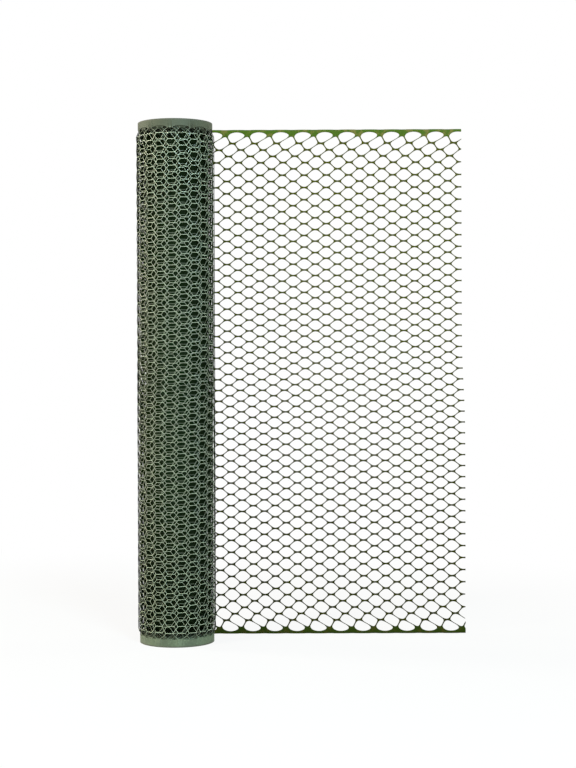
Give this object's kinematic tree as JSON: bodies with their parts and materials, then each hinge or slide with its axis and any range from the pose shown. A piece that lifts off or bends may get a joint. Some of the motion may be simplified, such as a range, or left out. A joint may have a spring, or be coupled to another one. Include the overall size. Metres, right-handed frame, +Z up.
{
  "type": "roll of plastic poultry netting",
  "caption": "Upright hollow roll of extruded plastic netting with hexagonal mesh and solid edge strips, its free end drawn out flat to one side.",
  "frame": {"origin": "centre of the roll's hollow on the floor that the roll stands on", "axes": "+Z up the axis of the roll, +X along the free end from the roll to the cut edge, +Y to the side of the roll that the free end leaves"},
  "size_m": [0.5881, 0.1403, 0.914],
  "materials": {
    "netting": "satin dark green extruded polyethylene"
  },
  "bodies": {
    "root": {"net_roll": "netting", "free_end_bottom": "netting", "free_end_lower": "netting", "free_end_upper": "netting", "free_end_top": "netting"}
  },
  "joints": []
}
